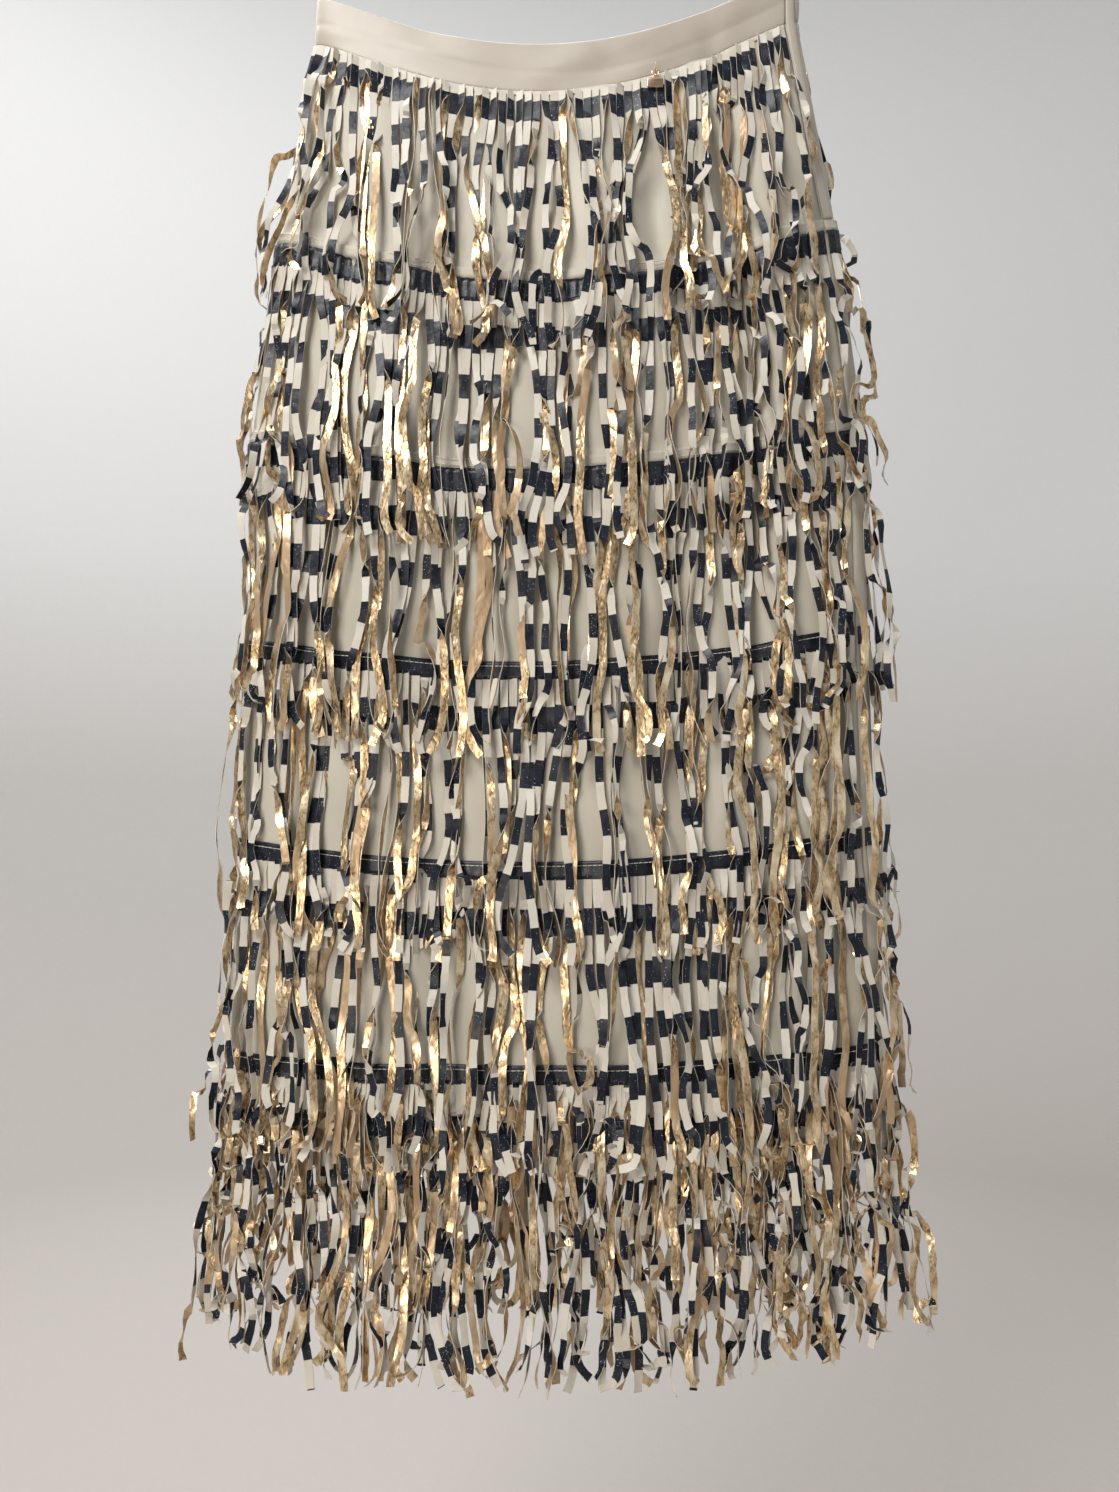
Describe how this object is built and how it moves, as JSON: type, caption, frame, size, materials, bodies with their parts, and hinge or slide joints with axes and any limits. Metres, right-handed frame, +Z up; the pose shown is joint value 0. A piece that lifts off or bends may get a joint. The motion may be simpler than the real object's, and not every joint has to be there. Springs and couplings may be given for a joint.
{
  "type": "fringe skirt",
  "caption": "Long straight skirt with a plain satin waistband, tiers of cut ribbon fringe striped navy and cream with gold strands, two hanging loops and a small metal charm.",
  "frame": {"origin": "midway between the tops of the two hanging loops, where a hanger or hooks hold the skirt up", "axes": "+Z up along the skirt's length, +X to the viewer's right across the front, the front faces -Y"},
  "size_m": [0.4781, 0.1126, 1.0051],
  "materials": {
    "band_satin": "smooth cream satin crepe",
    "base_cloth": "matte cream crepe",
    "fringe_ribbon": "semi-gloss coated ribbon striped navy and cream, with crinkled gold foil strands",
    "loop_tape": "cream satin tape and thread",
    "charm_metal": "polished pale rose gold"
  },
  "bodies": {
    "skirt": {"waistband_front": "band_satin", "waistband_back": "band_satin", "skirt_front": "base_cloth", "skirt_back": "base_cloth", "tier_1_front": "fringe_ribbon", "tier_2_front": "fringe_ribbon", "tier_3_front": "fringe_ribbon", "tier_4_front": "fringe_ribbon", "tier_5_front": "fringe_ribbon", "tier_6_front": "fringe_ribbon", "tier_1_back": "fringe_ribbon", "tier_2_back": "fringe_ribbon", "tier_3_back": "fringe_ribbon", "tier_4_back": "fringe_ribbon", "tier_5_back": "fringe_ribbon", "tier_6_back": "fringe_ribbon", "side_placket": "base_cloth", "loop_left": "loop_tape", "loop_right": "loop_tape", "charm_thread": "loop_tape"},
    "charm": {"charm_ring": "charm_metal", "charm_plate": "charm_metal"}
  },
  "joints": [
    {"name": "charm_swing", "type": "hinge", "parent": "skirt", "child": "charm", "pos_m": [0.0672, -0.0205, -0.137], "axis": [-1, 0, 0], "range_deg": [0, 75]}
  ]
}
